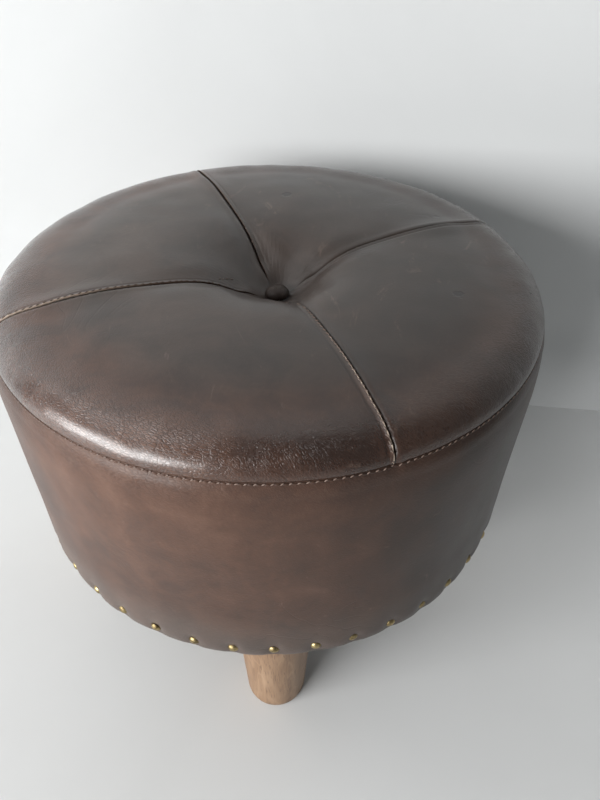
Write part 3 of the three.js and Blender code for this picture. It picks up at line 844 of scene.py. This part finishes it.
# ---- Button ----
# A steel shell covered with a scrap of the same hide, gathered under its edge and pulled down hard by
# twine through the cushion.
button_r = (button_high.x - button_low.x) / 2
button_h = button_high.z - button_low.z
dome = [(button_r * math.sin(a), button_low.z + button_h * math.cos(a))
        for a in np.linspace(0, math.pi / 2, 16)]
under_edge = [(button_r * 0.99, button_low.z - 0.35 * MM), (button_r * 0.93, button_low.z - 0.5 * MM)]
skin = 0.9 * MM
lining = [((button_r - skin) * math.sin(a), button_low.z + (button_h - skin) * math.cos(a))
          for a in np.linspace(math.pi / 2, 0, 8)]
bm = turned([*dome, *under_edge, *lining], 72)
bmesh.ops.translate(bm, verts=bm.verts, vec=(button_at.x, button_at.y, 0))
# The button's hide is darkened to 0.3 of the seat's: painted shade, where it sits deep in the dimple.
button_look = leather("button_leather", [], False, 0.3)
button = piece("leather_button", bm, button_look, ["button_cover"])
spots = places(button.data)
dx, dy = spots[:, 0] - button_at.x, spots[:, 1] - button_at.y
reach = np.hypot(dx, dy) / button_r
theta = np.arctan2(dy, dx)
gather = (0.5 * np.sin(theta * 9 + 1) + 0.3 * np.sin(theta * 14 + 2)) * smooth_step(0.72, 1.0, reach)
spots[:, 0] = button_at.x + dx * (1 - 0.022 * gather)
spots[:, 1] = button_at.y + dy * (1 - 0.022 * gather)
spots[:, 2] += 0.10 * MM * gather
put(button.data, spots)
wrap_uv(button.data, theta * button_r, reach * button_r)


# ---- Nails ----
# Forty-four domed brass upholstery nails, lacquered and gone dull, driven through the band into the
# edge of the base board about 22 mm apart.
brass = Finish("aged_brass")
tarnish = brass.noise(260, 5.0, 0.65)
pits = brass.noise(1600, 2.0)
brass_look = brass.surface(
    brass.mix(tarnish.between(0.40, 0.68), (0.42, 0.33, 0.165), (0.12, 0.086, 0.042)),
    0.31 + tarnish * 0.25, pits * 0.00004, Metallic=1.0)
nail_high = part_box("brass_nails")[1]
HEAD_R = 3.3 * MM
DOME_H = 2.4 * MM
head_seat = nail_high.x - DOME_H - 1.9 * MM
nail_section = [(HEAD_R * math.sin(a), DOME_H * math.cos(a)) for a in np.linspace(0, 1.42, 7)]
nail_section += [(HEAD_R, 0.0), (HEAD_R * 0.9, -0.1 * MM), (0.9 * MM, 0.5 * MM), (0.7 * MM, -7 * MM),
                 (0, -9 * MM)]
nail_bm = bmesh.new()
random.seed(5)
for number in range(NAILS):
    one = turned(nail_section, 14)
    mesh = bpy.data.meshes.new("nail")
    one.to_mesh(mesh)
    one.free()
    before = len(nail_bm.verts)
    nail_bm.from_mesh(mesh)
    nail_bm.verts.ensure_lookup_table()
    bpy.data.meshes.remove(mesh)
    a = nail_from + number * nail_step + random.uniform(-0.006, 0.006)
    tip = Matrix.Rotation(math.radians(90 + 16 + random.uniform(-4, 4)), 4, "Y")
    seat_at = Matrix.Translation((head_seat - 0.2 * MM, 0, NAIL_Z + random.uniform(-0.5, 0.5) * MM))
    swing = Matrix.Rotation(a, 4, "Z")
    bmesh.ops.transform(nail_bm, verts=nail_bm.verts[before:], matrix=swing @ seat_at @ tip)
piece("upholstery_nails", nail_bm, brass_look, ["brass_nails"], math.radians(50))


# ---- Dust cover ----
# Thin black cambric stapled over the bottom, inside the leather hem, with a little sag in it.
cambric = Finish("black_cambric")
weft = (cambric.axis("X") * 5200).maths("SINE")
warp = (cambric.axis("Y") * 5200).maths("SINE")
worn = cambric.noise(30, 5.0, 0.6)
cambric_tone = cambric.ramp(worn, [(0.3, (0.012, 0.012, 0.013)), (0.7, (0.035, 0.034, 0.036))])
cambric_look = cambric.surface(cambric_tone, 0.85 + worn * 0.1, weft * warp * 0.00006)
dust_low, dust_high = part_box("dust_cover")
dust_r = dust_high.x
rows = [(r, dust_high.z) for r in np.linspace(0, dust_r - 4 * MM, 30)] + [(dust_r, dust_high.z - 0.1 * MM)]
cloth_bm = turned(rows, 120)
dust_cover = piece("bottom_cloth", cloth_bm, cambric_look, ["dust_cover"])
spots = places(dust_cover.data)
reach = np.hypot(spots[:, 0], spots[:, 1]) / dust_r
spots[:, 2] -= 1.5 * MM * (1 - smooth_step(0.0, 0.72, reach))
spots[:, 2] += rumple(spots, 45, 2) * 0.25 * MM * (1 - smooth_step(0.7, 0.95, reach)) - 0.1 * MM
put(dust_cover.data, spots)
thick = dust_cover.modifiers.new("thickness", "SOLIDIFY")
thick.thickness = 0.35 * MM
thick.offset = 0

STAPLES = 28
staple_bm = bmesh.new()
random.seed(8)
for number in range(STAPLES):
    a = (number + 0.5) * math.tau / STAPLES + random.uniform(-0.03, 0.03)
    out = Vector((math.cos(a), math.sin(a), 0))
    middle = out * (dust_r - 5 * MM) + Vector((0, 0, dust_low.z - 0.1 * MM))
    crown_way = Vector((-out.y, out.x, 0)) + out * random.uniform(-0.4, 0.4)
    bar = bmesh.ops.create_cube(staple_bm, size=1.0)["verts"]
    turn = crown_way.to_track_quat("X", "Z").to_matrix().to_4x4()
    size = Matrix.Diagonal((10 * MM, 1.1 * MM, 0.5 * MM, 1))
    bmesh.ops.transform(staple_bm, verts=bar, matrix=Matrix.Translation(middle) @ turn @ size)
bmesh.ops.bevel(staple_bm, geom=staple_bm.edges, offset=0.15 * MM, offset_type="OFFSET", segments=2,
                profile=0.5, affect="EDGES", material=-1)
piece("bottom_staples", staple_bm, steel_look)


# ---- Room, light and camera ----
# A pale floor that meets a pale wall close behind the stool, with soft light from the front left.
def staged(name, corners, material):
    bm = bmesh.new()
    bm.faces.new([bm.verts.new(corner) for corner in corners])
    mesh = bpy.data.meshes.new(name)
    bm.to_mesh(mesh)
    bm.free()
    mesh.materials.append(material)
    made = bpy.data.objects.new(name, mesh)
    bpy.context.scene.collection.objects.link(made)
    return made


WALL_TURN = math.radians(-7.5)
WALL_GAP = 0.186
WALL_HALF = 3.0
def one_sided(name, light, dark):
    """Matt paint that only shows from its front, so a view from behind isn't blocked."""
    paint = Finish(name)
    tint = paint.ramp(paint.noise(3.5, 4.0, 0.5, 0.6), [(0.3, dark), (0.7, light)])
    matt = paint.node("ShaderNodeBsdfDiffuse", {}, {"Color": tint})
    clear = paint.node("ShaderNodeBsdfTransparent")
    behind = paint.node("ShaderNodeNewGeometry", output="Backfacing")
    seen = paint.node("ShaderNodeMixShader", {}, {0: behind, 1: matt, 2: clear})
    paint.node("ShaderNodeOutputMaterial", {}, {"Surface": seen})
    return paint.material


staged("floor", [(-4, -4, 0), (4, -4, 0), (4, 4, 0), (-4, 4, 0)],
       one_sided("pale_floor", (0.72, 0.725, 0.72), (0.66, 0.665, 0.66)))
wall_along = Vector((math.cos(WALL_TURN), math.sin(WALL_TURN), 0))
wall_in = Vector((math.sin(WALL_TURN), -math.cos(WALL_TURN), 0))
wall_foot = wall_in * -WALL_GAP
up = Vector((0, 0, WALL_HALF))
staged("wall", [wall_foot - wall_along * WALL_HALF, wall_foot + wall_along * WALL_HALF,
                wall_foot + wall_along * WALL_HALF + up, wall_foot - wall_along * WALL_HALF + up],
       one_sided("pale_wall", (0.59, 0.60, 0.60), (0.55, 0.56, 0.56)))


def soft_light(name, place, aim, size, power):
    data = bpy.data.lights.new(name, "AREA")
    data.shape = "RECTANGLE"
    data.size, data.size_y = size
    data.energy = power
    made = bpy.data.objects.new(name, data)
    made.location = place
    made.rotation_euler = (Vector(aim) - Vector(place)).to_track_quat("-Z", "Y").to_euler()
    bpy.context.scene.collection.objects.link(made)


soft_light("window", (-2.10, -1.54, 0.84), (0, 0, 0.15), (2.2, 1.15), 128)
soft_light("ceiling", (-0.95, -0.15, 1.55), (0, 0, 0.15), (0.9, 0.9), 4)
world = bpy.data.worlds.new("room")
world.use_nodes = True
world.node_tree.nodes["Background"].inputs["Color"].default_value = (0.75, 0.78, 0.80, 1)
world.node_tree.nodes["Background"].inputs["Strength"].default_value = 0.21
bpy.context.scene.world = world
bpy.context.scene.view_settings.view_transform = "Standard"

FOCAL_MM = 27.05
CAMERA_AT = (0.0058, -0.3005, 0.4259)
camera_data = bpy.data.cameras.new("camera")
camera_data.lens = FOCAL_MM
camera_data.sensor_width = 36.0
camera_data.clip_start = 0.01
camera_data.clip_end = 20.0
camera = bpy.data.objects.new("camera", camera_data)
pitch, heading, roll = math.radians(42.46), math.radians(2.3), math.radians(1.0)
forward = Vector((math.sin(heading) * math.cos(pitch), math.cos(heading) * math.cos(pitch),
                  -math.sin(pitch)))
right = Vector((math.cos(heading), -math.sin(heading), 0))
upright = right.cross(forward)
right, upright = (right * math.cos(roll) + upright * math.sin(roll),
                  upright * math.cos(roll) - right * math.sin(roll))
camera.matrix_world = Matrix.Translation(CAMERA_AT) @ Matrix(
    (right, upright, -forward)).transposed().to_4x4()
bpy.context.scene.collection.objects.link(camera)
bpy.context.scene.camera = camera
